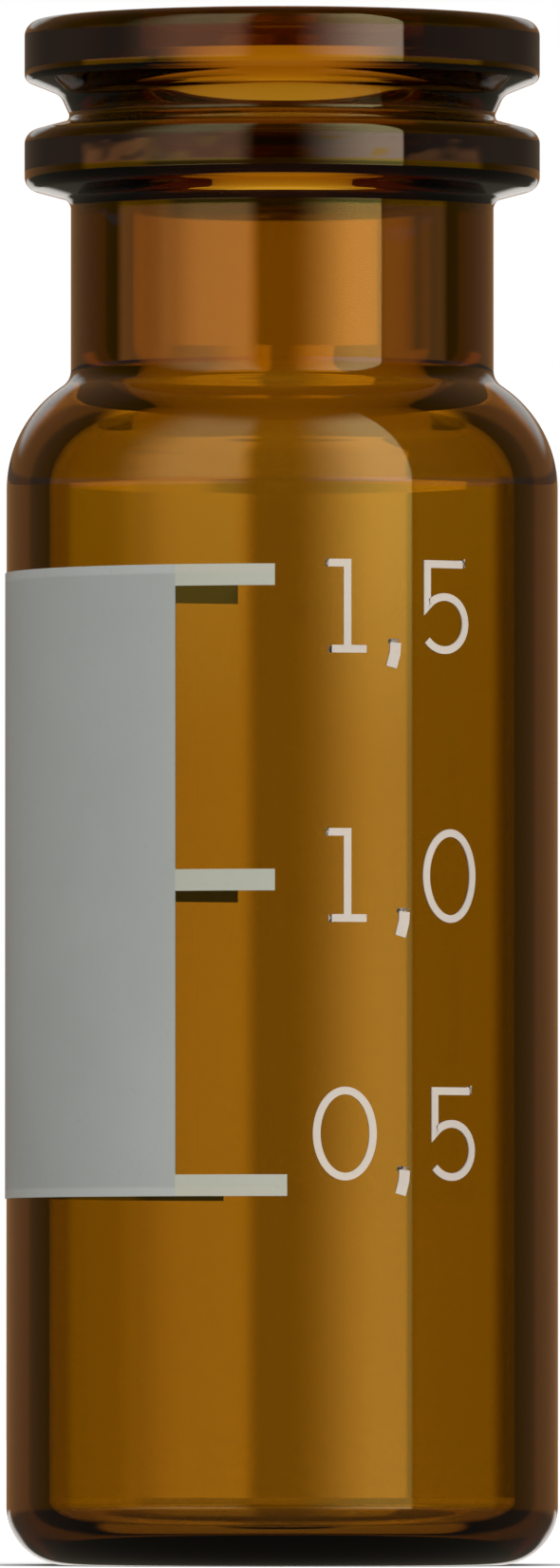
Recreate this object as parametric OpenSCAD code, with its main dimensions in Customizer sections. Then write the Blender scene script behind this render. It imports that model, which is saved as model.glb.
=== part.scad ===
// Amber glass sample vial with a snap-ring finish, open, with a fired enamel
// writing patch, three graduation bars and their numerals.
// Millimetres, +Z up. The origin is the centre of the base, which stands on
// Z = 0. The numerals face -Y, and the writing patch faces -X.

/* [Tube] */
// Outside diameter of the glass tube
body_d = 11.6; // [11.5:0.1:12.2]
// Height from the base to the rim
vial_h = 32.5; // [31:0.5:40]
// Wall thickness of the tube
wall = 0.9; // [0.8:0.05:1.1]

/* [Base] */
// Thickness of the base beside the wall
base_t = 0.8; // [0.6:0.05:1.2]
// Radius of the outer bottom corner
base_corner = 1.25; // [0.8:0.05:1.5]
// Radius of the inner bottom corner
floor_corner = 0.5; // [0.3:0.1:1]
// Rise of the floor at its centre
floor_rise = 0.1; // [0.05:0.05:0.3]

/* [Shoulder and neck] */
// Outside diameter of the neck
neck_d = 8.9; // [8.7:0.1:9]
// Height of the neck, from the shoulder to the lower ring
neck_h = 3.8; // [3:0.05:4.5]
// Radius of the shoulder outside
shoulder_r = 2.6; // [2.2:0.1:2.7]
// Slope of the shoulder where it meets the neck, in degrees from upright
shoulder_slope = 55; // [48:1:55]

/* [Snap-ring finish] */
// Diameter of both rings
ring_d = 10.85; // [10.7:0.05:11]
// Height of the upper ring at its edge
rim_h = 1.25; // [1.1:0.05:1.4]
// Slope of the upper ring's underside, in degrees from level
rim_slope = 22; // [14:1:26]
// Width of the groove between the rings, at its bottom
groove_w = 0.55; // [0.5:0.05:0.9]
// Diameter of the groove at its bottom
groove_d = 8.85; // [8.7:0.05:9.2]
// Height of the lower ring at its edge
collar_h = 1.15; // [0.9:0.05:1.3]
// Slope of the two faces of the lower ring, in degrees from level
collar_slope = 15; // [10:1:24]

/* [Bore] */
// Diameter of the mouth
mouth_d = 6.0; // [5.2:0.1:6.2]
// Height of the lip round the mouth, which is narrower than the bore
lip_h = 0.75; // [0.5:0.05:0.9]
// Diameter of the bore below the lip
neck_bore_d = 6.3; // [6.3:0.1:6.6]

/* [Print] */
// Thickness of the fired enamel
print_t = 0.03; // [0.02:0.01:0.05]
// Height of the lower edge of the print above the base
print_z = 7.7; // [5:0.1:8]
// Height of the print, from the lowest bar to the top one
print_h = 13.15; // [12:0.05:13.5]
// Angle that the writing patch goes round the tube
patch_span = 126; // [90:2:130]
// Height of a graduation bar
bar_h = 0.45; // [0.3:0.05:0.6]
// Height of a numeral
digit_h = 1.95; // [1.6:0.05:2.1]
// Width of a numeral's stroke
stroke_w = 0.16; // [0.12:0.01:0.2]

/* [Hidden] */
$fn = 180;

GLASS = "#7a4a08";
PATCH_ENAMEL = "#969e9b";
MARK_ENAMEL = "#e6dfd2";

body_r = body_d / 2;
neck_r = neck_d / 2;
ring_r = ring_d / 2;
groove_r = groove_d / 2;
mouth_r = mouth_d / 2;
neck_bore_r = neck_bore_d / 2;
cavity_r = body_r - wall;

// Fire-polished edges and blends of the neck and the finish
neck_blend = 0.4;
collar_root = 0.25;
collar_edge = 0.3;
groove_root = 0.15;
rim_root = 0.4;
rim_under_edge = 0.18;
rim_top_edge = 0.33;
mouth_edge = 0.28;
lip_blend = 0.15;
flare_blend = 1.5;
flare_slope = 50;

// The groove leans out by this much towards the upper ring
groove_lean = 0.25;
// The bore narrows to the lip over this height
lip_step = 0.35;

// Levels of the finish, counted down from the rim
rim_under_z = vial_h - rim_h;
rim_root_z = rim_under_z - (ring_r - groove_r - groove_lean) * tan(rim_slope);
groove_z = rim_root_z - groove_w;
collar_top_z = groove_z - (ring_r - groove_r) * tan(collar_slope);
collar_low_z = collar_top_z - collar_h;
collar_root_z = collar_low_z - (ring_r - neck_r) * tan(collar_slope);
lip_z = vial_h - lip_h;

// Levels of the shoulder: each pair is where the straight faces would cross
shoulder_in_z = collar_root_z - neck_h;
shoulder_out_z = shoulder_in_z - (body_r - neck_r) / tan(shoulder_slope);
shoulder_z = shoulder_out_z - shoulder_r * tan(shoulder_slope / 2);
inner_shoulder_r = shoulder_r - wall;
inner_out_z = shoulder_z + inner_shoulder_r * tan(flare_slope / 2);
inner_in_z = inner_out_z + (cavity_r - neck_bore_r) / tan(flare_slope);

// Corners of the section, as [radius, height, blend radius], from the centre
// of the base up the outside, over the rim and down the inside
SECTION = [
    [0, 0, 0],
    [body_r, 0, base_corner],
    [body_r, shoulder_out_z, shoulder_r],
    [neck_r, shoulder_in_z, neck_blend],
    [neck_r, collar_root_z, collar_root],
    [ring_r, collar_low_z, collar_edge],
    [ring_r, collar_top_z, collar_edge],
    [groove_r, groove_z, groove_root],
    [groove_r + groove_lean, rim_root_z, rim_root],
    [ring_r, rim_under_z, rim_under_edge],
    [ring_r, vial_h, rim_top_edge],
    [mouth_r, vial_h, mouth_edge],
    [mouth_r, lip_z, lip_blend],
    [neck_bore_r, lip_z - lip_step, lip_blend],
    [neck_bore_r, inner_in_z, flare_blend],
    [cavity_r, inner_out_z, inner_shoulder_r],
    [cavity_r, base_t, floor_corner],
    [0, base_t + floor_rise, 0],
];

// Bearings round the tube, in degrees from the front (-Y) towards +X
PATCH_MIDDLE = -85.5;
FRONT = -90;

// Rows of the scale from the bottom up: the lower edge of the bar as a share of
// its free height, how many degrees the bar runs past the front and the back
// edge of the patch, the numerals' foot as a share of theirs, and the signs
// with their bearings
ROWS = [
    [0.0, 23.5, 17.5, 0.02, [["0", 13], [",", 25.5], ["5", 37.3]]],
    [0.5, 21, 21, 0.5, [["1", 13.5], [",", 25.5], ["0", 37]]],
    [1.0, 21, 21, 1.0, [["1", 13.5], [",", 23.5], ["5", 35.5]]],
];
// The numerals reach this far past the print's lower and upper edges
digit_over = 0.1;

// Widths of the signs, as shares of a numeral's height
zero_share = 0.7;
five_share = 0.64;
flag_share = 0.24;
serif_share = 0.21;
bowl_share = 0.31;
comma_share = 0.15;
// The print is cut through this depth, which leaves only the enamel
cut_depth = 1.5;
// No bar runs further past the patch than this, in degrees
bar_room = 26;

function turn_of(a, b) = let (cross = a.x * b.y - a.y * b.x) atan2(cross, a * b);
function unit(v) = v / norm(v);
function left_of(v) = [-v.y, v.x];

// Points of the arc that blends the corner at b, on the way from a to c
function blend(a, b, c, r) =
    let (
        u = unit([b.x - a.x, b.y - a.y]),
        v = unit([c.x - b.x, c.y - b.y]),
        turn = turn_of(u, v),
        side = sign(turn),
        start = [b.x, b.y] - u * r * tan(abs(turn) / 2),
        centre = start + left_of(u) * side * r,
        steps = max(2, ceil(abs(turn) / 9)),
        spoke = start - centre
    )
    [for (i = [0:steps])
        let (t = turn * i / steps)
        centre + [spoke.x * cos(t) - spoke.y * sin(t), spoke.x * sin(t) + spoke.y * cos(t)]];

function blended(corners) = [
    for (i = [0:len(corners) - 1])
        each let (c = corners[i])
            c[2] == 0 ? [[c.x, c.y]] : blend(corners[i - 1], c, corners[i + 1], c[2])
];

function arc(centre, r, from, to, step = 12) =
    let (steps = ceil(abs(to - from) / step))
    [for (i = [0:steps])
        let (a = from + (to - from) * i / steps)
        centre + r * [cos(a), sin(a)]];

function bar_level(row) = print_z + row[0] * (print_h - bar_h);

// Offset of a stroke's edge at point i, to the left of its centre line
function edge_offset(path, i) =
    let (
        last = len(path) - 1,
        before = left_of(unit(path[max(i, 1)] - path[max(i, 1) - 1])),
        after = left_of(unit(path[min(i, last - 1) + 1] - path[min(i, last - 1)])),
        middle = unit(before + after)
    )
    middle / (middle * before);

// A line of the numerals' stroke width along a path
module stroke(path, w = stroke_w) {
    points = [for (i = [0:len(path) - 1]) i];
    polygon(concat(
        [for (i = points) path[i] + edge_offset(path, i) * w / 2],
        [for (i = points) path[len(path) - 1 - i] - edge_offset(path, len(path) - 1 - i) * w / 2]
    ));
}

// The signs stand on Y = 0 and are centred on X = 0
module zero() {
    oval = [for (a = [0:10:350]) [cos(a) * zero_share / 2, (1 + sin(a)) / 2]];
    inner = 1 - 2 * stroke_w / digit_h;
    inner_w = 1 - 2 * stroke_w / (digit_h * zero_share);
    difference() {
        polygon(oval * digit_h);
        polygon([for (p = oval) [p.x * inner_w, (p.y - 0.5) * inner + 0.5] * digit_h]);
    }
}

module one() {
    half = stroke_w / 2;
    stroke([
        [-flag_share * digit_h, digit_h - half],
        [0, digit_h - half],
        [0, half],
    ]);
    stroke([[-serif_share * digit_h, half], [serif_share * digit_h, half]]);
}

module five() {
    half = stroke_w / 2;
    bowl_r = bowl_share * (digit_h - stroke_w);
    bowl = [0, half + bowl_r];
    left = bowl_r * cos(140);
    stroke(concat(
        [
            [five_share * digit_h / 2 - half, digit_h - half],
            [left, digit_h - half],
        ],
        arc(bowl, bowl_r, 140, -140)
    ));
}

module comma() {
    drop = comma_share * digit_h;
    stroke([[0.05, drop], [0.03, 0], [-0.05, -drop]], stroke_w * 1.5);
}

module sign_shape(name) {
    if (name == "0") zero();
    if (name == "1") one();
    if (name == "5") five();
    if (name == ",") comma();
}

// A band of enamel on the tube, between two bearings and two levels
module enamel_band(from, to, low, high) {
    rotate([0, 0, FRONT + from])
        rotate_extrude(angle = to - from)
            translate([body_r, low])
                square([print_t, high - low]);
}

// What is cut from the print between two bearings and two levels
module clear_glass(from, to, low, high) {
    rotate([0, 0, FRONT + from])
        rotate_extrude(angle = to - from)
            translate([body_r - cut_depth / 2, low])
                square([cut_depth, high - low]);
}

// A sign of the scale, wrapped on the tube at a bearing and a level
module enamel_sign(name, bearing, level) {
    intersection() {
        enamel_band(bearing - 20, bearing + 20, level - digit_h, level + 2 * digit_h);
        rotate([0, 0, bearing])
            translate([0, -body_r + cut_depth / 2, level])
                rotate([90, 0, 0])
                    linear_extrude(cut_depth)
                        sign_shape(name);
    }
}

module vial_body() {
    color(GLASS, 0.8)
        rotate_extrude()
            polygon(blended(SECTION));
}

// The patch and the bars that run past both its edges are one print: a wide
// band of enamel, less the clear glass between the bars and past their ends
module writing_patch() {
    front_edge = PATCH_MIDDLE + patch_span / 2;
    back_edge = PATCH_MIDDLE - patch_span / 2;
    top = print_z + print_h;
    color(PATCH_ENAMEL)
        difference() {
            enamel_band(back_edge - bar_room, front_edge + bar_room, print_z, top);
            for (i = [0:len(ROWS) - 1]) {
                row = ROWS[i];
                low = bar_level(row);
                above = i < len(ROWS) - 1 ? bar_level(ROWS[i + 1]) : top + bar_h;
                clear_glass(front_edge + row[1], front_edge + 2 * bar_room, low - bar_h, above);
                clear_glass(back_edge - 2 * bar_room, back_edge - row[2], low - bar_h, above);
                if (above < top) {
                    clear_glass(front_edge, front_edge + 2 * bar_room, low + bar_h, above);
                    clear_glass(back_edge - 2 * bar_room, back_edge, low + bar_h, above);
                }
            }
        }
}

module scale_numerals() {
    color(MARK_ENAMEL)
        for (row = ROWS) {
            low = print_z + digit_over + row[3] * (print_h - digit_h);
            for (item = row[4]) enamel_sign(item[0], item[1], low);
        }
}

vial_body();
writing_patch();
scale_numerals();
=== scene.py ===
"""Looks of an open amber glass sample vial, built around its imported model.

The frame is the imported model's: metres, +Z up the axis of the tube, the
numerals towards -Y and the writing patch towards -X. Sizes in the dataclasses
are in millimetres, and MM turns them into metres. A bearing is an angle round
the tube in degrees, 0 at the front (-Y) and growing towards +X.
"""

import logging
import math
from dataclasses import dataclass
from enum import Enum
from typing import Any, Iterable, Union

import bmesh
import bpy
from mathutils import Matrix, Vector


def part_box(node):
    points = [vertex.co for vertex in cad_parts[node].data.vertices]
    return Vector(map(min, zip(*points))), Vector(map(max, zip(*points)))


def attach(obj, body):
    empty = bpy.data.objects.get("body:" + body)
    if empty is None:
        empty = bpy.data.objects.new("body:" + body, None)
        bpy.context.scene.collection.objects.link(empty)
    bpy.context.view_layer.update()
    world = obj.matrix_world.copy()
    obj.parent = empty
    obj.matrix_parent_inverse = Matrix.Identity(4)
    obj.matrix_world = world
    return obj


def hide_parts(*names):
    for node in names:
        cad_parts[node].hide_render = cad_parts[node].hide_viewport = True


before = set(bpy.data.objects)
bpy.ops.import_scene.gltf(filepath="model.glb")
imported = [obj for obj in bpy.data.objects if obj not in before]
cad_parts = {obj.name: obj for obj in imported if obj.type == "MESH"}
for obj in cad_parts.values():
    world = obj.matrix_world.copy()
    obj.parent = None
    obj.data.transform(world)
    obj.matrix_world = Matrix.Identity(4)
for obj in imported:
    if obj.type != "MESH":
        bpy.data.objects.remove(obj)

MM = 0.001
LOG = logging.getLogger("sample_vial")
# A print's faces are smooth up to this angle
CREASE = math.radians(30.0)
# Glass surfaces crossed: light through one wall has crossed fewer, through both walls more
ONE_WALL_CROSSED = 2.5

Colour = tuple[float, float, float]
Point = tuple[float, float]
Operand = Union["Signal", float]
Material = bpy.types.Material
Piece = bpy.types.Object

WHITE: Colour = (1.0, 1.0, 1.0)


def bearing_of(point: Vector) -> float:
    """Gives the bearing of a point round the tube, in degrees from the front."""
    return math.degrees(math.atan2(point.x, -point.y))


# ---- Shader maths ----


@dataclass(frozen=True)
class Span:
    """A stretch of an angle or a length, with a soft border at both ends."""

    low: float
    high: float
    soft_low: float
    soft_high: float


class Signal:
    """A value in a shader, with the arithmetic that adds its Math nodes."""

    def __init__(self, desk: "NodeDesk", socket: bpy.types.NodeSocket) -> None:
        """Wraps an output socket of one of the desk's nodes."""
        self.desk = desk
        self.socket = socket

    def __add__(self, other: Operand) -> "Signal":
        """Adds two values."""
        return self.desk.math("ADD", self, other)

    __radd__ = __add__

    def __sub__(self, other: Operand) -> "Signal":
        """Takes the other value from this one."""
        return self.desk.math("SUBTRACT", self, other)

    def __rsub__(self, other: Operand) -> "Signal":
        """Takes this value from the other one."""
        return self.desk.math("SUBTRACT", other, self)

    def __mul__(self, other: Operand) -> "Signal":
        """Multiplies two values."""
        return self.desk.math("MULTIPLY", self, other)

    __rmul__ = __mul__

    def __truediv__(self, other: Operand) -> "Signal":
        """Divides this value by the other one."""
        return self.desk.math("DIVIDE", self, other)

    def __rtruediv__(self, other: Operand) -> "Signal":
        """Divides the other value by this one."""
        return self.desk.math("DIVIDE", other, self)

    def rise(self, ends: Point) -> "Signal":
        """Goes smoothly from 0 where this value is at the first end to 1 where it is at the second."""
        inputs = {"Value": self, "From Min": ends[0], "From Max": ends[1]}
        node = self.desk.put("MapRange", inputs, interpolation_type="SMOOTHSTEP", clamp=True)
        return self.desk.signal(node)

    def within(self, span: Span) -> "Signal":
        """Gives 1 where this value lies in a stretch, fading to 0 over its borders."""
        past_low = self.rise((span.low - span.soft_low, span.low))
        return past_low * (1 - self.rise((span.high, span.high + span.soft_high)))


class NodeDesk:
    """Lays out the nodes of one material or world."""

    def __init__(self, tree: bpy.types.NodeTree) -> None:
        """Clears a node tree and starts on it."""
        self.tree = tree
        tree.nodes.clear()

    def put(self, kind: str, inputs: dict[Any, Any] | None = None, **settings: Any) -> bpy.types.Node:
        """Adds a node.

        Args:
            kind: The node's type, such as "Math".
            inputs: Values or links of its sockets, by name or number.
            **settings: Its settings, set before its sockets.

        Returns:
            The new node.
        """
        node = self.tree.nodes.new(f"ShaderNode{kind}")
        for name, value in settings.items():
            setattr(node, name, value)
        for name, value in (inputs or {}).items():
            self.feed(node.inputs[name], value)
        return node

    def feed(self, socket: bpy.types.NodeSocket, value: Any) -> None:
        """Fills a socket.

        Args:
            socket: The socket.
            value: Its value, or the signal or socket that it is linked to.
        """
        source = value.socket if isinstance(value, Signal) else value
        if isinstance(source, bpy.types.NodeSocket):
            self.tree.links.new(source, socket)
        else:
            socket.default_value = source

    def signal(self, node: bpy.types.Node, output: Union[str, int] = 0) -> Signal:
        """Wraps one output of a node."""
        return Signal(self, node.outputs[output])

    def math(self, operation: str, *operands: Operand) -> Signal:
        """Adds a Math node on one to three operands."""
        return self.signal(self.put("Math", dict(enumerate(operands)), operation=operation))

    def vector(self, operation: str, inputs: dict[Any, Any], output: int = 0) -> Signal:
        """Adds a Vector Math node."""
        return self.signal(self.put("VectorMath", inputs, operation=operation), output)

    def mix(self, share: Operand, first: Any, second: Any) -> Signal:
        """Mixes two colours: the first at share 0, the second at share 1."""
        inputs = {"Factor": share, 6: self.colour(first), 7: self.colour(second)}
        return self.signal(self.put("Mix", inputs, data_type="RGBA"), 2)

    def tinted(self, colour: Any, level: Signal) -> Signal:
        """Gives a colour times a level, as a vector."""
        return self.vector("SCALE", {0: colour, "Scale": level})

    def relief(self, height: Signal) -> Signal:
        """Gives the normals of a surface that stands out by a height in metres."""
        return self.signal(self.put("Bump", {"Strength": 1.0, "Distance": 1.0, "Height": height}))

    def noise(self, place: Signal, stretch: Colour, detail: float) -> Signal:
        """Reads soft noise.

        Args:
            place: The coordinates, in metres.
            stretch: Features per metre along X, Y and Z.
            detail: How many finer layers it has.

        Returns:
            A value from 0 to 1, about 0.5 on average.
        """
        spread = self.vector("MULTIPLY", {0: place, 1: stretch})
        return self.signal(self.put("TexNoise", {"Vector": spread, "Scale": 1.0, "Detail": detail}))

    def parts(self, place: Signal) -> tuple[Signal, Signal, Signal]:
        """Splits coordinates into X, Y and Z."""
        node = self.put("SeparateXYZ", {0: place})
        return self.signal(node, 0), self.signal(node, 1), self.signal(node, 2)

    @staticmethod
    def colour(value: Any) -> Any:
        """Gives a plain colour its alpha, and leaves a signal as it is."""
        return (*value, 1.0) if isinstance(value, tuple) else value


# ---- Finishes ----


def new_material(name: str) -> tuple[Material, NodeDesk, Signal]:
    """Starts a material with nodes.

    Args:
        name: The material's name.

    Returns:
        The material, its node desk, and the object coordinates in metres.
    """
    material = bpy.data.materials.new(name)
    material.use_nodes = True
    desk = NodeDesk(material.node_tree)
    return material, desk, desk.signal(desk.put("TexCoord"), "Object")


@dataclass(frozen=True)
class AmberGlass:
    """Amber tubing glass: clear, dark where it is thick, faintly rippled by the flame."""

    ior: float = 1.49
    # Share of light lost per millimetre, as a natural logarithm
    absorbed: Colour = (0.7, 1.18, 3.0)
    # Tint of the drawn tube, which is a little deeper than that of the worked neck
    tube: Colour = (0.757, 0.705, 0.62)
    worked_neck: Colour = WHITE
    # How far clouds in the glass darken both, and how many clouds there are to the metre
    cloudy: float = 0.03
    clouds: Colour = (300.0, 300.0, 160.0)
    # Faint haze where the clouds are thickest
    haze: float = 0.012
    haze_clouds: Point = (0.62, 0.8)
    # Long waves of the drawn tube, and the rounder ones of the flame-worked neck
    draw_wave: float = 0.0006
    draw_lines: Colour = (420.0, 420.0, 28.0)
    flame_wave: float = 0.0022
    flame_dimples: Colour = (460.0, 460.0, 700.0)
    worked_from: Point = (22.0, 26.0)
    # Painted shade on the lower ring's face and on the corner under it: a darker tint of the glass there
    ring_painted_shade: Colour = (0.04, 0.025, 0.01)
    ring_face_radii: Point = (5.3, 5.38)
    ring_face_heights: Span = Span(28.9, 29.75, 0.1, 0.3)
    ring_root_heights: Span = Span(28.5, 28.66, 0.06, 0.05)
    # Painted shade at the groove's bottom: a darker tint of the glass there
    groove_painted_shade: Colour = (0.3, 0.22, 0.1)
    groove_heights: Span = Span(30.45, 30.95, 0.1, 0.15)
    # Distance from the axis of the outside of the glass between the rings' faces
    root_radii: Span = Span(4.3, 4.68, 0.1, 0.1)

    def material(self) -> Material:
        """Builds the material.

        Returns:
            The material, with the glass's colour in its depth.
        """
        material, desk, place = new_material("amber_glass")
        x, y, height = (part / MM for part in desk.parts(place))
        radius = desk.math("SQRT", x * x + y * y)
        cloud = desk.noise(place, self.clouds, 3.0)
        worked = height.rise(self.worked_from)
        shade = desk.tinted(desk.mix(worked, self.tube, self.worked_neck), 1 - self.cloudy * cloud)
        ring_face = radius.rise(self.ring_face_radii) * height.within(self.ring_face_heights)
        root = radius.within(self.root_radii)
        ring_root = root * height.within(self.ring_root_heights)
        # Painted shade: the glass is tinted darker on the lower ring's face and in the corner under it
        shade = desk.mix(desk.math("MAXIMUM", ring_face, ring_root), shade, self.ring_painted_shade)
        # Painted shade: the glass is tinted darker at the bottom of the groove
        shade = desk.mix(root * height.within(self.groove_heights), shade, self.groove_painted_shade)
        drawn = desk.noise(place, self.draw_lines, 1.0) * self.draw_wave
        dimpled = desk.noise(place, self.flame_dimples, 2.0) * self.flame_wave
        inputs = {
            "Base Color": shade,
            "Roughness": cloud.rise(self.haze_clouds) * self.haze,
            "IOR": self.ior,
            "Transmission Weight": 1.0,
            "Normal": desk.relief((drawn + worked * dimpled) * MM),
        }
        glass = desk.put("BsdfPrincipled", inputs)
        density = max(self.absorbed)
        kept = tuple(1.0 - loss / density for loss in self.absorbed)
        depth = desk.put("VolumeAbsorption", {"Color": (*kept, 1.0), "Density": density / MM})
        desk.put("OutputMaterial", {"Surface": glass.outputs[0], "Volume": depth.outputs[0]})
        return material


class EnamelTone(Enum):
    """The enamels' colours: where each is thin, where it is full, and along the print's edges."""

    FIELD = ((0.316, 0.339, 0.329), (0.345, 0.369, 0.357), (0.44, 0.46, 0.44))
    BAR = ((0.397, 0.41, 0.341), (0.441, 0.446, 0.366), (0.456, 0.446, 0.366))
    NUMERAL = ((0.55, 0.49, 0.43), (0.61, 0.54, 0.46), (0.59, 0.52, 0.44))


@dataclass(frozen=True)
class FiredEnamel:
    """Screen-printed ceramic enamel, fired on: satin, with a fine grain and a softer edge."""

    tone: EnamelTone
    ior: float = 1.5
    roughness: float = 0.42
    # How much the specks roughen it, and the height of its grain and of its clouds
    speckled: float = 0.1
    grain: float = 0.0012
    cloud_wave: float = 0.003
    clouds: Colour = (260.0, 260.0, 200.0)
    full_clouds: Point = (0.3, 0.7)
    specks: Colour = (9000.0, 9000.0, 9000.0)
    # Pores in it, and how far they darken it
    pore_specks: Point = (0.6, 0.75)
    pore_share: float = 0.18
    pore_shade: float = 0.8
    # Width of the print's margin, how soft its border is, and how far it takes its own colour
    margin_width: float = 0.22
    margin_soft: float = 0.066
    margin_share: float = 0.6

    def material(self, low: float, high: float) -> Material:
        """Builds the material.

        Args:
            low: Lower edge of the print, in metres.
            high: Upper edge of the print, in metres.

        Returns:
            The material.
        """
        material, desk, place = new_material(f"{self.tone.name.lower()}_enamel")
        thin, full, margin = self.tone.value
        cloud = desk.noise(place, self.clouds, 3.0)
        speckle = desk.noise(place, self.specks, 2.0)
        shade = desk.mix(cloud.rise(self.full_clouds), thin, full)
        start, end = low / MM + self.margin_width, high / MM - self.margin_width
        inside = (desk.parts(place)[2] / MM).within(Span(start, end, self.margin_soft, self.margin_soft))
        shade = desk.mix((1 - inside) * self.margin_share, shade, margin)
        pores = speckle.rise(self.pore_specks) * self.pore_share
        inputs = {
            "Base Color": desk.mix(pores, shade, tuple(self.pore_shade * level for level in thin)),
            "Roughness": self.roughness + self.speckled * speckle,
            "IOR": self.ior,
            "Normal": desk.relief((speckle * self.grain + cloud * self.cloud_wave) * MM),
        }
        enamel = desk.put("BsdfPrincipled", inputs)
        desk.put("OutputMaterial", {"Surface": enamel.outputs[0]})
        return material


@dataclass(frozen=True)
class StudioPaper:
    """The pale floor: plain matt paper, which the glass shows through but doesn't mirror."""

    colour: Colour = (0.86, 0.86, 0.86)
    fibres: Colour = (60.0, 60.0, 60.0)
    fibrous: float = 0.02
    lift: float = 0.5
    # From this distance on, the room takes its place behind the glass
    far: Point = (150.0, 195.0)
    # Up to this distance, the glass shows the room under it, not the paper
    close: Point = (9.0, 13.5)
    # Painted contact shadow: up to this distance the paper under and round the vial is painted darker, and
    # how dark it is there
    painted_shadow_ends: Point = (4.5, 8.1)
    painted_shadow_level: float = 0.3

    def material(self) -> Material:
        """Builds the material.

        Returns:
            The material, whose glow reaches the eye and the glass but lights nothing.
        """
        material, desk, place = new_material("studio_paper")
        away = desk.vector("LENGTH", {0: place}, 1) / MM
        # Painted contact shadow: the paper's colour and its glow fade darker towards the vial
        outside_painted_shadow = away.rise(self.painted_shadow_ends)
        level = 1 - self.fibrous * desk.noise(place, self.fibres, 4.0)
        level = self.painted_shadow_level + outside_painted_shadow * (level - self.painted_shadow_level)
        paper = desk.put("BsdfDiffuse", {"Color": desk.tinted(self.colour, level)})
        path = desk.put("LightPath")
        matt = desk.signal(path, "Is Diffuse Ray")
        glow = desk.put("Emission", {"Strength": (1 - matt) * outside_painted_shadow * self.lift})
        seen = desk.put("AddShader", {0: paper.outputs[0], 1: glow.outputs[0]})
        clear = desk.put("BsdfTransparent")
        mirror = desk.signal(path, "Is Reflection Ray") * (1 - matt)
        one_wall = desk.math("LESS_THAN", desk.signal(path, "Transmission Depth"), ONE_WALL_CROSSED)
        beyond = away.rise(self.far) + (1 - away.rise(self.close))
        unseen = desk.math("MAXIMUM", one_wall, beyond) * desk.signal(path, "Is Transmission Ray")
        share = desk.math("MAXIMUM", mirror, unseen)
        both = desk.put("MixShader", {0: share, 1: seen.outputs[0], 2: clear.outputs[0]})
        desk.put("OutputMaterial", {"Surface": both.outputs[0]})
        material.cycles.emission_sampling = "NONE"
        return material


# ---- Modelling ----


class Bench:
    """Edit-mode work that every piece shares."""

    @staticmethod
    def clear() -> None:
        """Leaves every object out of edit mode and unselected."""
        active = bpy.context.view_layer.objects.active
        if active is not None and active.mode != "OBJECT":
            bpy.ops.object.mode_set(mode="OBJECT")
        bpy.ops.object.select_all(action="DESELECT")

    @staticmethod
    def take(piece: Piece) -> None:
        """Makes a piece the active one and the only one selected."""
        Bench.clear()
        piece.select_set(True)
        bpy.context.view_layer.objects.active = piece

    @staticmethod
    def open(kind: str) -> bmesh.types.BMesh:
        """Goes into edit mode on the active piece, with nothing selected.

        Args:
            kind: What is selected from now on: "VERT", "EDGE" or "FACE".

        Returns:
            The mesh being edited.
        """
        bpy.ops.object.mode_set(mode="EDIT")
        bpy.ops.mesh.select_mode(type=kind)
        bpy.ops.mesh.select_all(action="DESELECT")
        return bmesh.from_edit_mesh(bpy.context.object.data)

    @staticmethod
    def pick(mesh: bmesh.types.BMesh, parts: Iterable[Any]) -> None:
        """Selects only some parts of the active piece.

        Args:
            mesh: The mesh being edited.
            parts: Its vertices, edges or faces.
        """
        bpy.ops.mesh.select_all(action="DESELECT")
        for part in parts:
            part.select_set(True)
        mesh.select_flush_mode()
        bmesh.update_edit_mesh(bpy.context.object.data)

    @staticmethod
    def extrude(rise: float = 0.0) -> None:
        """Extrudes the selected edges, this far up in metres."""
        bpy.ops.mesh.extrude_edges_move(TRANSFORM_OT_translate={"value": (0.0, 0.0, rise)})

    @staticmethod
    def resize(across: float, up: float, level: float = 0.0) -> None:
        """Resizes what is selected about a point of the axis, at a level in metres."""
        bpy.ops.transform.resize(value=(across, across, up), center_override=(0.0, 0.0, level))

    @staticmethod
    def close() -> None:
        """Goes back to object mode."""
        bpy.ops.object.mode_set(mode="OBJECT")

    @staticmethod
    def apply(piece: Piece, kind: str, **settings: Any) -> None:
        """Adds a modifier to the active piece and applies it.

        Args:
            piece: The piece, which is active and selected.
            kind: The modifier's type.
            **settings: Its settings.
        """
        modifier = piece.modifiers.new(kind.lower(), kind)
        for name, value in settings.items():
            setattr(modifier, name, value)
        bpy.ops.object.modifier_apply(modifier=modifier.name)

    @staticmethod
    def finish(piece: Piece, name: str, materials: list[Material]) -> Piece:
        """Puts a piece's place into its mesh, smooths it and dresses it.

        Args:
            piece: The piece, in object mode.
            name: Its name from now on.
            materials: Its materials, by slot.

        Returns:
            The piece.
        """
        Bench.take(piece)
        bpy.ops.object.transform_apply(location=True, rotation=True, scale=True)
        bpy.ops.object.shade_smooth()
        piece.name = name
        piece.data.name = name
        piece.data.materials.clear()
        for material in materials:
            piece.data.materials.append(material)
        return piece


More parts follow.
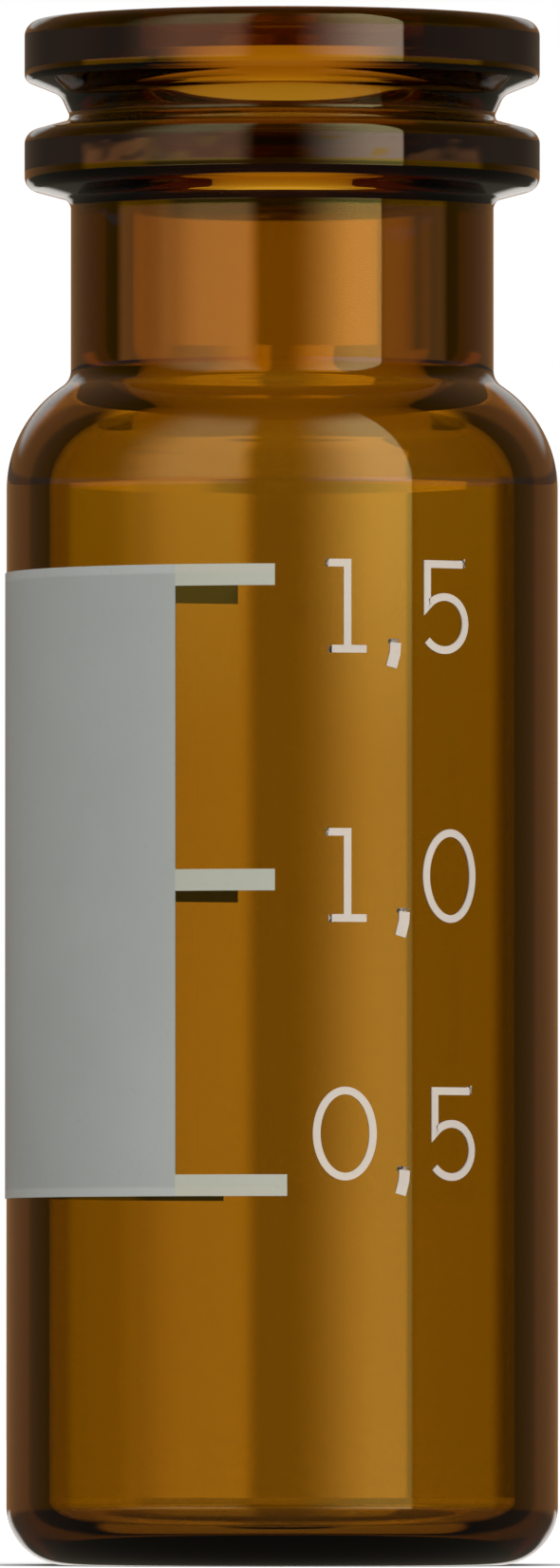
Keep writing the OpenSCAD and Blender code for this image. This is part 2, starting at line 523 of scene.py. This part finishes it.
@dataclass
class GlassVial:
    """The vial itself: one tube of glass with its base, shoulder, neck and two rings."""

    glass: Material
    sides: int = 256
    wall: float = 0.9
    base_thickness: float = 0.8
    base_corner: float = 1.25
    floor_corner: float = 0.5
    floor_rise: float = 0.1
    neck_diameter: float = 8.9
    neck_height: float = 3.8
    shoulder_radius: float = 2.6
    shoulder_slope: float = 55.0
    ring_diameter: float = 10.85
    rim_height: float = 1.25
    rim_slope: float = 22.0
    groove_width: float = 0.55
    groove_diameter: float = 8.85
    groove_lean: float = 0.25
    collar_height: float = 1.15
    collar_slope: float = 15.0
    mouth_diameter: float = 6.0
    neck_bore_diameter: float = 6.3
    lip_height: float = 0.75
    lip_step: float = 0.35
    flare_slope: float = 50.0
    # Radii of the section's blends and fire-polished edges
    neck_blend: float = 0.4
    collar_root: float = 0.25
    collar_edge: float = 0.3
    groove_root: float = 0.15
    rim_root: float = 0.4
    rim_under_edge: float = 0.18
    rim_top_edge: float = 0.33
    mouth_edge: float = 0.28
    lip_blend: float = 0.15
    flare_blend: float = 1.5
    # Steps of the floor's dome, fewest steps of a blend, and degrees a step turns in large and small ones
    dome_steps: int = 8
    least_steps: int = 3
    large_blend: float = 0.8
    fine_turn: float = 3.0
    coarse_turn: float = 6.0
    # Long runs get a ring this far from each end, which keeps their shine straight
    guard: float = 0.12

    def corners(self) -> list[tuple[float, float, float]]:
        """Gives the section's corners.

        Returns:
            Radius, height and blend radius in millimetres, from the base up
            the outside, over the rim and down the inside to the floor.
        """
        low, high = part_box("vial_body")
        body = high.x / MM
        top = high.z / MM
        neck = self.neck_diameter / 2
        ring = self.ring_diameter / 2
        groove = self.groove_diameter / 2
        mouth = self.mouth_diameter / 2
        lip = top - self.lip_height
        bore = self.neck_bore_diameter / 2
        cavity = body - self.wall
        face = math.tan(math.radians(self.collar_slope))
        rim_under = top - self.rim_height
        rim_face = ring - groove - self.groove_lean
        rim_root = rim_under - rim_face * math.tan(math.radians(self.rim_slope))
        groove_low = rim_root - self.groove_width
        collar_top = groove_low - (ring - groove) * face
        collar_low = collar_top - self.collar_height
        root = collar_low - (ring - neck) * face
        shoulder_in = root - self.neck_height
        shoulder_out = shoulder_in - (body - neck) / math.tan(math.radians(self.shoulder_slope))
        shoulder = shoulder_out - self.shoulder_radius * math.tan(math.radians(self.shoulder_slope / 2))
        inner_radius = self.shoulder_radius - self.wall
        inner_out = shoulder + inner_radius * math.tan(math.radians(self.flare_slope / 2))
        inner_in = inner_out + (cavity - bore) / math.tan(math.radians(self.flare_slope))
        return [
            (0.0, low.z / MM, 0.0),
            (body, low.z / MM, self.base_corner),
            (body, shoulder_out, self.shoulder_radius),
            (neck, shoulder_in, self.neck_blend),
            (neck, root, self.collar_root),
            (ring, collar_low, self.collar_edge),
            (ring, collar_top, self.collar_edge),
            (groove, groove_low, self.groove_root),
            (groove + self.groove_lean, rim_root, self.rim_root),
            (ring, rim_under, self.rim_under_edge),
            (ring, top, self.rim_top_edge),
            (mouth, top, self.mouth_edge),
            (mouth, lip, self.lip_blend),
            (bore, lip - self.lip_step, self.lip_blend),
            (bore, inner_in, self.flare_blend),
            (cavity, inner_out, inner_radius),
            (cavity, self.base_thickness, self.floor_corner),
            (0.0, self.base_thickness + self.floor_rise, 0.0),
        ]

    def arc(self, before: Vector, corner: Vector, after: Vector, radius: float) -> list[Vector]:
        """Blends a corner of the section.

        Args:
            before: The corner before it.
            corner: The corner.
            after: The corner after it.
            radius: The blend's radius.

        Returns:
            The points of the blend's arc.
        """
        inward = (corner - before).normalized()
        outward = (after - corner).normalized()
        turn = math.atan2(inward.cross(outward), inward.dot(outward))
        start = corner - inward * radius * math.tan(abs(turn) / 2)
        side = math.copysign(1.0, turn)
        centre = start + Vector((-inward.y, inward.x)) * side * radius
        step = self.fine_turn if radius >= self.large_blend else self.coarse_turn
        steps = max(self.least_steps, math.ceil(math.degrees(abs(turn)) / step))
        spoke = start - centre
        return [centre + Matrix.Rotation(turn * i / steps, 2) @ spoke for i in range(steps + 1)]

    def rings(self) -> list[Point]:
        """Gives the rings to turn the wall from.

        Returns:
            Each ring's radius and height, in millimetres.
        """
        corners = self.corners()
        section: list[Vector] = []
        for i in range(1, len(corners) - 1):
            before, corner, after = (Vector(corners[j][:2]) for j in (i - 1, i, i + 1))
            section.extend(self.arc(before, corner, after, corners[i][2]))
        guarded = [section[0]]
        for start, end in zip(section, section[1:]):
            run = end - start
            if run.length > 3 * self.guard:
                guarded.append(start + run.normalized() * self.guard)
                guarded.append(end - run.normalized() * self.guard)
            guarded.append(end)
        edge = section[-1]
        rise = corners[-1][1] - edge.y
        for i in range(1, self.dome_steps):
            share = 1 - i / self.dome_steps
            guarded.append(Vector((edge.x * share, edge.y + rise * (1 - share * share))))
        return [(point.x, point.y) for point in guarded]

    def build(self) -> Piece:
        """Turns the vial: a disc for the base, then ring after ring extruded from its edge.

        Returns:
            The vial, handed to the frame.
        """
        rings = self.rings()
        radius, height = rings[0]
        Bench.clear()
        bpy.ops.mesh.primitive_circle_add(
            vertices=self.sides, radius=radius * MM, fill_type="TRIFAN", location=(0.0, 0.0, height * MM)
        )
        piece = bpy.context.object
        mesh = Bench.open("EDGE")
        Bench.pick(mesh, [edge for edge in mesh.edges if edge.is_boundary])
        for next_radius, next_height in rings[1:]:
            Bench.extrude((next_height - height) * MM)
            Bench.resize(next_radius / radius, 1.0, next_height * MM)
            radius, height = next_radius, next_height
        Bench.extrude((self.base_thickness + self.floor_rise - height) * MM)
        bpy.ops.mesh.merge(type="CENTER")
        bpy.ops.mesh.select_all(action="SELECT")
        bpy.ops.mesh.normals_make_consistent(inside=False)
        Bench.close()
        Bench.finish(piece, "amber_vial", [self.glass])
        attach(piece, "root")
        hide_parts("vial_body")
        return piece


@dataclass
class Print:
    """What every print on the tube shares: where it lies on the glass."""

    # How deep the fired enamel sits in the glass
    bite: float = 0.01

    def outer(self) -> float:
        """Gives the radius of the print's face, in metres."""
        low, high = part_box("writing_patch")
        return max(-low.x, high.y)

    def thickness(self) -> float:
        """Gives the thickness of the enamel with what is fused in the glass, in metres."""
        return self.outer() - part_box("vial_body")[1].x + self.bite * MM

    @staticmethod
    def levels() -> Point:
        """Gives the lower and upper edge of the print, in metres."""
        low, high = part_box("writing_patch")
        return low.z, high.z


@dataclass
class WritingPatch(Print):
    """The writing field with the three graduation bars that run past both its edges."""

    field: Material | None = None
    bars: Material | None = None
    columns: int = 720
    front_edge: float = -22.5
    back_edge: float = -148.5
    bar_height: float = 0.45
    # Points of the cut sleeve that are closer than this are one
    joined: float = 0.0005
    # Bearings where each bar starts and ends, from the bottom one up
    bar_ends: tuple[Point, ...] = ((-166.0, 1.0), (-169.5, -1.5), (-169.5, -1.5))

    def bar_levels(self) -> list[Point]:
        """Spreads the bars evenly over the height of the print.

        Returns:
            The lower and upper edge of each bar, in metres.
        """
        low, high = self.levels()
        height = self.bar_height * MM
        free = high - low - height
        count = len(self.bar_ends) - 1
        return [(low + free * i / count, low + free * i / count + height) for i in range(count + 1)]

    def printed(self, centre: Vector) -> bool:
        """Tells whether the tube is printed at a point.

        Args:
            centre: The point, in metres.

        Returns:
            Whether the field or a bar covers it.
        """
        bearing = bearing_of(centre)
        if self.back_edge < bearing < self.front_edge:
            return True
        for (low, high), (start, end) in zip(self.bar_levels(), self.bar_ends):
            if low < centre.z < high and start < bearing < end:
                return True
        return False

    def build(self) -> Piece:
        """Cuts the print out of a thin sleeve and gives it its thickness.

        Returns:
            The print, handed to the frame.
        """
        low, high = self.levels()
        Bench.clear()
        bpy.ops.mesh.primitive_cylinder_add(
            vertices=self.columns,
            radius=self.outer(),
            depth=high - low,
            end_fill_type="NOTHING",
            location=(0.0, 0.0, (low + high) / 2),
        )
        piece = bpy.context.object
        bpy.ops.object.transform_apply(location=True)
        mesh = Bench.open("FACE")
        for edges in self.bar_levels():
            for level in edges:
                if low < level < high:
                    bpy.ops.mesh.select_all(action="SELECT")
                    bpy.ops.mesh.bisect(plane_co=(0.0, 0.0, level), plane_no=(0.0, 0.0, 1.0))
        mesh = bmesh.from_edit_mesh(piece.data)
        Bench.pick(mesh, [face for face in mesh.faces if not self.printed(face.calc_center_median())])
        bpy.ops.mesh.delete(type="FACE")
        bpy.ops.mesh.select_all(action="SELECT")
        bpy.ops.mesh.remove_doubles(threshold=self.joined * MM)
        Bench.close()
        Bench.apply(piece, "SOLIDIFY", thickness=self.thickness(), offset=-1.0, use_even_offset=True)
        Bench.finish(piece, "writing_patch_print", [self.field, self.bars])
        bpy.ops.object.shade_smooth_by_angle(angle=CREASE)
        for polygon in piece.data.polygons:
            bearing = bearing_of(polygon.center)
            polygon.material_index = 0 if self.back_edge < bearing < self.front_edge else 1
        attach(piece, "root")
        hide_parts("writing_patch")
        return piece


@dataclass
class ScaleNumerals(Print):
    """The numerals of the scale, drawn flat with one pen and wrapped on the tube."""

    enamel: Material | None = None
    digit: float = 1.95
    pen: float = 0.16
    # A stroke is cut this often, so that it bends with the tube
    cut: float = 0.08
    # How far a numeral reaches past the print's lower and upper edges
    over: float = 0.1
    zero_width: float = 0.7
    five_width: float = 0.64
    flag: float = 0.24
    serif: float = 0.21
    bowl: float = 0.31
    # The comma: half its lean, half its height as a share of a numeral's, its bend and its width in pens
    comma: Point = (0.05, 0.15)
    comma_bend: float = 0.03
    comma_pens: float = 1.5
    # Degrees from level at which the 5's bowl starts and ends, and its step
    bowl_end: int = 140
    bowl_step: int = 10
    # Sides of the tube that the signs are wrapped on, and of the 0, and the room before the tube
    sleeve_sides: int = 720
    zero_sides: int = 72
    room: float = 0.5
    rows: tuple[tuple[float, tuple[tuple[str, float], ...]], ...] = (
        (0.02, (("0", 13.0), (",", 25.5), ("5", 37.3))),
        (0.5, (("1", 13.5), (",", 25.5), ("0", 37.0))),
        (1.0, (("1", 13.5), (",", 23.5), ("5", 35.5))),
    )

    def strokes(self, sign: str) -> list[tuple[list[Point], float]]:
        """Gives the pen strokes of a sign.

        Args:
            sign: "1", "5" or ",".

        Returns:
            Each stroke's centre line in millimetres, standing on 0 and centred
            on 0, and its width.
        """
        half = self.pen / 2
        top = self.digit - half
        if sign == "1":
            stem = [(-self.flag * self.digit, top), (0.0, top), (0.0, half)]
            foot = [(-self.serif * self.digit, half), (self.serif * self.digit, half)]
            return [(stem, self.pen), (foot, self.pen)]
        if sign == ",":
            lean, drop = self.comma[0], self.comma[1] * self.digit
            tail = [(lean, drop), (self.comma_bend, 0.0), (-lean, -drop)]
            return [(tail, self.comma_pens * self.pen)]
        radius = self.bowl * (self.digit - self.pen)
        round_part = []
        for angle in range(self.bowl_end, -self.bowl_end - 1, -self.bowl_step):
            turn = math.radians(angle)
            round_part.append((radius * math.cos(turn), half + radius + radius * math.sin(turn)))
        left = round_part[0][0]
        flag = [(self.five_width * self.digit / 2 - half, top), (left, top)]
        return [(flag + round_part, self.pen)]

    def outline(self, path: list[Point], width: float) -> list[tuple[Vector, Vector]]:
        """Gives both edges of a stroke, mitred at its corners and cut often enough to bend.

        Args:
            path: The stroke's centre line.
            width: Its width.

        Returns:
            The left and the right point of each cut, in millimetres.
        """
        points = [Vector(point) for point in path]
        runs = [(end - start).normalized() for start, end in zip(points, points[1:])]
        cuts = []
        for point, before, after in zip(points, [runs[0], *runs], [*runs, runs[-1]]):
            left = Vector((-before.y, before.x))
            middle = (left + Vector((-after.y, after.x))).normalized()
            reach = middle * (width / 2 / middle.dot(left))
            cuts.append((point + reach, point - reach))
        fine = [cuts[0]]
        for (left_a, right_a), (left_b, right_b) in zip(cuts, cuts[1:]):
            length = max((left_b - left_a).length, (right_b - right_a).length)
            steps = max(1, math.ceil(length / self.cut))
            for k in range(1, steps + 1):
                fine.append((left_a.lerp(left_b, k / steps), right_a.lerp(right_b, k / steps)))
        return fine

    def draw_stroke(self, path: list[Point], width: float, front: float) -> Piece:
        """Draws one stroke flat in front of the tube, edge after edge.

        Args:
            path: The stroke's centre line, in millimetres.
            width: Its width, in millimetres.
            front: Distance of the drawing plane from the axis, in metres.

        Returns:
            The flat stroke.
        """
        cuts = self.outline(path, width)
        Bench.clear()
        bpy.ops.mesh.primitive_plane_add(size=MM, location=(0.0, 0.0, 0.0))
        piece = bpy.context.object
        mesh = Bench.open("VERT")
        mesh.verts.ensure_lookup_table()
        Bench.pick(mesh, mesh.verts[:2])
        bpy.ops.mesh.delete(type="VERT")
        mesh = bmesh.from_edit_mesh(piece.data)
        bpy.ops.mesh.select_mode(type="EDGE")
        Bench.pick(mesh, mesh.edges)
        for number, sides in enumerate(cuts):
            if number:
                Bench.extrude()
            mesh = bmesh.from_edit_mesh(piece.data)
            ends = [vertex for vertex in mesh.verts if vertex.select]
            for vertex, side in zip(ends, sides):
                vertex.co = Vector((side.x * MM, -front, side.y * MM))
            bmesh.update_edit_mesh(piece.data)
        Bench.close()
        return piece

    def draw_zero(self, front: float) -> Piece:
        """Draws the 0: an upright oval line with an even width.

        Args:
            front: Distance of the drawing plane from the axis, in metres.

        Returns:
            The flat sign.
        """
        wide = self.zero_width * self.digit / 2
        tall = self.digit / 2
        Bench.clear()
        bpy.ops.mesh.primitive_circle_add(
            vertices=self.zero_sides, radius=MM, fill_type="NOTHING", rotation=(math.pi / 2, 0.0, 0.0)
        )
        piece = bpy.context.object
        bpy.ops.object.transform_apply(rotation=True)
        mesh = Bench.open("EDGE")
        Bench.pick(mesh, mesh.edges)
        Bench.resize(wide, tall)
        Bench.extrude()
        Bench.resize((wide - self.pen) / wide, (tall - self.pen) / tall)
        bpy.ops.mesh.select_all(action="SELECT")
        bpy.ops.transform.translate(value=(0.0, -front, tall * MM))
        Bench.close()
        return piece

    def wrap(self, piece: Piece, sleeve: Piece, bearing: float, level: float) -> None:
        """Lays a flat sign on the tube and turns it to its place.

        Args:
            piece: The flat sign, in front of the tube.
            sleeve: A tube at the radius of the print's face.
            bearing: Where the sign goes round the tube, in degrees.
            level: Height of its foot, in metres.
        """
        Bench.take(piece)
        ways = {"use_project_y": True, "use_positive_direction": True, "use_negative_direction": False}
        Bench.apply(piece, "SHRINKWRAP", target=sleeve, wrap_method="PROJECT", **ways)
        mesh = Bench.open("FACE")
        for face in mesh.faces:
            if face.normal.y > 0:
                face.normal_flip()
        bmesh.update_edit_mesh(piece.data)
        Bench.close()
        Bench.apply(piece, "SOLIDIFY", thickness=self.thickness(), offset=-1.0, use_even_offset=True)
        piece.rotation_euler.z = math.radians(bearing)
        piece.location.z = level
        bpy.ops.object.transform_apply(location=True, rotation=True)

    def build(self) -> Piece:
        """Draws every sign, wraps it and joins them to one print.

        Returns:
            The numerals, handed to the frame.
        """
        low, high = self.levels()
        free = high - low - self.digit * MM
        front = self.outer() + self.room * MM
        Bench.clear()
        bpy.ops.mesh.primitive_cylinder_add(
            vertices=self.sleeve_sides, radius=self.outer(), depth=high, end_fill_type="NOTHING"
        )
        sleeve = bpy.context.object
        signs = []
        for share, row in self.rows:
            level = low + self.over * MM + share * free
            for sign, bearing in row:
                if sign == "0":
                    drawn = [self.draw_zero(front)]
                else:
                    drawn = [self.draw_stroke(path, width, front) for path, width in self.strokes(sign)]
                for piece in drawn:
                    self.wrap(piece, sleeve, bearing, level)
                signs.extend(drawn)
        bpy.data.objects.remove(sleeve)
        Bench.take(signs[0])
        for piece in signs:
            piece.select_set(True)
        bpy.ops.object.join()
        piece = Bench.finish(signs[0], "scale_numerals_print", [self.enamel])
        bpy.ops.object.shade_smooth_by_angle(angle=CREASE)
        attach(piece, "root")
        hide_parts("scale_numerals")
        return piece


# ---- Studio ----


class Sky(NodeDesk):
    """The world's node desk, which knows the direction that light comes from."""

    def __init__(self, tree: bpy.types.NodeTree) -> None:
        """Lays out the direction: its parts, and its bearing, turn aside and height in degrees."""
        super().__init__(tree)
        self.x, self.y, self.z = self.parts(self.signal(self.put("TexCoord"), "Generated"))
        self.bearing = self.math("ARCTAN2", self.x, 0 - self.y) * math.degrees(1.0)
        self.aside = self.math("ABSOLUTE", self.bearing)
        self.height = self.math("ARCSINE", self.z) * math.degrees(1.0)


@dataclass(frozen=True)
class StripLight:
    """A tall soft light that the glass mirrors."""

    bearings: Span
    # Its colour below the horizon, level with the foot, shoulder, neck and rings, and above
    colours: tuple[Colour, ...]
    heights: Span = Span(-3.5, 50.0, 3.0, 15.0)
    # Heights between which each colour goes over into the next
    steps: tuple[Point, ...] = ((-3.0, -1.0), (1.6, 2.35), (2.45, 2.6), (3.18, 3.28), (4.4, 6.0))

    def light(self, sky: Sky) -> Signal:
        """Lays out the strip's light.

        Args:
            sky: The world's node desk.

        Returns:
            The strip's colour, which is black beside it.
        """
        colour: Any = self.colours[0]
        for ends, following in zip(self.steps, self.colours[1:]):
            colour = sky.mix(sky.height.rise(ends), colour, following)
        return sky.tinted(colour, sky.bearing.within(self.bearings) * sky.height.within(self.heights))


def side_strip(bearings: Span, neck: Colour) -> StripLight:
    """Gives a low amber light beside the vial, whose two sides differ at the neck's height alone."""
    colours = ((0.3, 0.15, 0.05), (0.9, 0.4, 0.0), (1.1, 0.55, 0.0), neck, (0.0, 0.0, 0.0), (0.3, 0.15, 0.0))
    return StripLight(bearings, colours, Span(-3.5, 5.0, 3.0, 6.0))


@dataclass
class Studio:
    """Pale floor, pale room, soft lights and the camera.

    The room has one light for matt things, one that the glass mirrors, and two
    that show through one wall of it and through both. A Point of two angles is
    where a light starts and is full: its height above the horizon, or how far
    aside of the front it lies. Here angles are in degrees. The upright tube
    mirrors heights up to 2.5, the neck and the rings those up to 4, and the
    shoulder all above.
    """

    paper: Material
    floor_size: float = 6000.0
    backdrop: Colour = WHITE

    # Light on matt things: level, above, and how much more of it comes from the front right
    horizon: float = 0.42
    zenith: float = 0.84
    matt_heights: Point = (-0.1, 1.0)
    lean: float = 2.0
    lean_bearing: float = 20.0
    least: float = 0.1

    # Mirrored by the tube, and by the rings in front and at the sides
    room: Colour = (0.3, 0.14, 0.0)
    ring_room: Colour = (0.1, 0.03, 0.0)
    ring_side_room: Colour = (0.3, 0.2, 0.15)
    ring_aside: Point = (35.0, 75.0)
    ring_heights: Span = Span(3.15, 4.4, 0.07, 1.6)
    # Mirrored from behind, by the tube and by the rings
    far_room: Colour = (0.34, 0.17, 0.07)
    ring_far_room: Colour = (0.14, 0.1, 0.07)
    far_aside: Point = (100.0, 140.0)
    # Mirrored from below by the base
    low_room: Colour = (0.09, 0.08, 0.06)
    low_heights: Point = (-6.0, -1.5)
    # Mirrored from far behind: a colour, how far aside of the front it starts and is full, and heights
    back_lights: tuple[tuple[Colour, Point, Span], ...] = (
        ((1.0, 0.95, 0.9), (158.0, 166.0), Span(-9.0, -2.0, 4.0, 1.0)),
        ((0.8, 0.77, 0.73), (146.0, 160.0), Span(12.0, 20.0, 4.0, 6.0)),
    )
    strips: tuple[StripLight, ...] = (
        StripLight(
            Span(-42.0, -22.0, 38.0, 11.0),
            (
                (2.4, 1.6, 0.6), (0.2, 0.2, 0.05), (1.6, 1.2, 0.2),
                (2.7, 1.6, 0.6), (1.9, 1.0, 0.6), (1.7, 1.6, 0.9),
            ),
        ),
        StripLight(
            Span(46.0, 55.0, 42.0, 1.5),
            (
                (4.0, 2.8, 1.2), (1.6, 1.5, 0.4), (4.2, 3.4, 0.8),
                (5.6, 3.5, 1.0), (5.2, 3.9, 2.9), (3.9, 3.5, 1.8),
            ),
        ),
        side_strip(Span(-96.0, -68.0, 8.0, 10.0), (1.6, 0.6, 0.17)),
        side_strip(Span(60.0, 96.0, 8.0, 8.0), (1.0, 0.4, 0.13)),
    )

    # Through one wall: from the sides, from behind, and from above where the wall bends
    wall_dark: Colour = (0.02, 0.01, 0.0)
    wall_light: Colour = (0.3, 0.26, 0.22)
    wall_aside: Point = (146.0, 153.0)
    wall_above: Colour = (1.8, 1.8, 1.8)
    above_heights: Point = (6.0, 10.0)
    above_aside: Point = (162.0, 177.0)
    overhead: Point = (34.0, 48.0)
    # Through one wall from below, and from straight below as seen from above the vial
    below_heights: Point = (-35.0, -20.0)
    wall_steep: Colour = (0.8, 0.75, 0.7)
    wall_steep_heights: Span = Span(-72.0, -42.0, 6.0, 6.0)
    wall_steep_aside: Point = (60.0, 150.0)
    wall_steep_loss: float = 0.3

    # Through both walls, with brighter bands: their turns from straight behind, and how much brighter
    beyond: Colour = WHITE
    bands: tuple[tuple[Span, float], ...] = (
        (Span(-3.0, -1.2, 5.0, 0.6), 1.0),
        (Span(3.0, 4.35, 2.9, 0.3), 1.35),
    )
    band_top: Point = (11.8, 14.0)
    # The narrower neck spreads the bands by this much
    neck_spread: float = 2.3
    neck_heights: Span = Span(2.6, 4.0, 0.15, 0.3)
    # Darker where the shoulder bends light from far aside
    corner_heights: Point = (11.0, 16.0)
    corner_aside: Point = (135.0, 155.0)
    corner_loss: float = 0.8
    # Darker towards the foot, dark below, and lit again as seen from above the vial
    foot_heights: Point = (-6.0, -1.0)
    foot_loss: float = 0.15
    floor_heights: Point = (-30.0, -16.0)
    steep_heights: Point = (-50.0, -38.0)
    steep_level: float = 0.8
    # A dark flag behind at the right, which draws the tube's edge
    flag_bearings: Span = Span(128.0, 152.0, 6.0, 12.0)
    flag_heights: Span = Span(-2.0, 5.0, 2.0, 3.0)
    flag_loss: float = 0.98

    # The camera: its distance, height and offset, the height that it looks at, and its focal length
    camera_distance: float = 475.0
    camera_height: float = 3.03
    camera_offset: float = -0.046
    aim_height: float = 16.425
    lens: float = 518.5

    def lay_floor(self) -> Piece:
        """Lays the pale floor under the vial.

        Returns:
            The floor.
        """
        Bench.clear()
        bpy.ops.mesh.primitive_plane_add(size=self.floor_size * MM, location=(0.0, 0.0, 0.0))
        floor = bpy.context.object
        floor.name = "studio_floor"
        floor.data.materials.append(self.paper)
        return floor

    def matt_light(self, sky: Sky) -> Signal:
        """Lays out the light on matt things.

        Args:
            sky: The world's node desk.

        Returns:
            The light from every direction.
        """
        side = math.radians(self.lean_bearing)
        lean = sky.x * math.sin(side) - sky.y * math.cos(side)
        level = sky.z.rise(self.matt_heights) * (self.zenith - self.horizon) + self.horizon
        level = level * sky.math("MAXIMUM", lean * self.lean + 1.0, self.least)
        return sky.tinted(WHITE, level)

    def mirrored_light(self, sky: Sky) -> Signal:
        """Lays out what the glass mirrors.

        Args:
            sky: The world's node desk.

        Returns:
            The light from every direction.
        """
        rings = sky.height.within(self.ring_heights)
        ring_front = sky.mix(sky.aside.rise(self.ring_aside), self.ring_room, self.ring_side_room)
        front = sky.mix(rings, self.room, ring_front)
        far = sky.mix(rings, self.far_room, self.ring_far_room)
        light = sky.mix(sky.aside.rise(self.far_aside), front, far)
        light = sky.mix(sky.height.rise(self.low_heights), self.low_room, light)
        for colour, ends, heights in self.back_lights:
            light = sky.mix(sky.aside.rise(ends) * sky.height.within(heights), light, colour)
        for strip in self.strips:
            light = sky.vector("ADD", {0: light, 1: strip.light(sky)})
        return light

    def one_wall_light(self, sky: Sky) -> Signal:
        """Lays out what shows through one wall of the glass.

        Args:
            sky: The world's node desk.

        Returns:
            The light from every direction.
        """
        light = sky.mix(sky.aside.rise(self.wall_aside), self.wall_dark, self.wall_light)
        above = sky.math("MAXIMUM", sky.aside.rise(self.above_aside), sky.height.rise(self.overhead))
        light = sky.mix(sky.height.rise(self.above_heights) * above, light, self.wall_above)
        light = sky.tinted(light, sky.height.rise(self.below_heights))
        loss = sky.aside.rise(self.wall_steep_aside) * self.wall_steep_loss
        steep = sky.height.within(self.wall_steep_heights) * (1 - loss)
        return sky.mix(steep, light, self.wall_steep)

    def both_walls_light(self, sky: Sky) -> Signal:
        """Lays out what shows through both walls of the glass.

        Args:
            sky: The world's node desk.

        Returns:
            The light from every direction.
        """
        turn = sky.math("SIGN", sky.bearing) * (180 - sky.aside)
        turn = turn / (1 + sky.height.within(self.neck_heights) * (self.neck_spread - 1))
        glow = sum((turn.within(turns) * gain for turns, gain in self.bands), 0.0)
        glow = 1 + glow * (1 - sky.height.rise(self.band_top))
        corner = sky.height.rise(self.corner_heights) * (1 - sky.aside.rise(self.corner_aside))
        foot = 1 - sky.height.rise(self.foot_heights)
        glow = glow * (1 - self.corner_loss * corner) * (1 - self.foot_loss * foot)
        steep = 1 - sky.height.rise(self.steep_heights)
        glow = glow * (sky.height.rise(self.floor_heights) + steep * self.steep_level)
        flag = sky.bearing.within(self.flag_bearings) * sky.height.within(self.flag_heights)
        return sky.tinted(self.beyond, glow * (1 - flag * self.flag_loss))

    def light_room(self) -> bpy.types.World:
        """Lights the room from all round, for each way that its light reaches the eye.

        Returns:
            The world.
        """
        world = bpy.data.worlds.new("studio_room")
        bpy.context.scene.world = world
        world.use_nodes = True
        sky = Sky(world.node_tree)
        path = sky.put("LightPath")
        crossed_one = sky.math("LESS_THAN", sky.signal(path, "Transmission Depth"), ONE_WALL_CROSSED)
        through = sky.mix(crossed_one, self.both_walls_light(sky), self.one_wall_light(sky))
        is_mirror = sky.signal(path, "Is Reflection Ray") * (1 - sky.signal(path, "Is Diffuse Ray"))
        light = sky.mix(is_mirror, self.matt_light(sky), self.mirrored_light(sky))
        light = sky.mix(sky.signal(path, "Is Transmission Ray"), light, through)
        light = sky.mix(sky.signal(path, "Is Camera Ray"), light, self.backdrop)
        background = sky.put("Background", {"Color": light, "Strength": 1.0})
        sky.put("OutputWorld", {"Surface": background.outputs[0]})
        return world

    def set_camera(self) -> Piece:
        """Sets the camera low in front of the vial, near the height of its base.

        Returns:
            The camera.
        """
        data = bpy.data.cameras.new("studio_camera")
        camera = bpy.data.objects.new("studio_camera", data)
        bpy.context.scene.collection.objects.link(camera)
        camera.location = Vector((self.camera_offset, -self.camera_distance, self.camera_height)) * MM
        target = Vector((self.camera_offset, 0.0, self.aim_height)) * MM
        camera.rotation_euler = (target - camera.location).to_track_quat("-Z", "Y").to_euler()
        data.lens = self.lens
        data.sensor_width = 36.0
        data.clip_start = 0.01
        data.clip_end = 20.0
        bpy.context.scene.camera = camera
        return camera

    def set_paths(self) -> None:
        """Lets light through all the walls of the glass, and keeps colours plain."""
        scene = bpy.context.scene
        scene.view_settings.view_transform = "Standard"
        scene.cycles.max_bounces = 24
        scene.cycles.transmission_bounces = 24
        scene.cycles.glossy_bounces = 12
        scene.cycles.diffuse_bounces = 4


# ---- The vial ----


def report(piece: Piece) -> None:
    """Logs a finished piece with its faces."""
    LOG.info("%s: %d faces", piece.name, len(piece.data.polygons))


def main() -> None:
    """Builds the vial, its print and the studio."""
    logging.basicConfig(level=logging.INFO, format="%(name)s: %(message)s")
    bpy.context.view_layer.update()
    studio = Studio(StudioPaper().material())
    studio.set_camera()
    studio.set_paths()
    studio.light_room()
    report(studio.lay_floor())
    report(GlassVial(AmberGlass().material()).build())
    low, high = Print.levels()
    field, bars, numerals = (FiredEnamel(tone).material(low, high) for tone in EnamelTone)
    report(WritingPatch(field=field, bars=bars).build())
    report(ScaleNumerals(enamel=numerals).build())


if __name__ == "__main__":
    main()
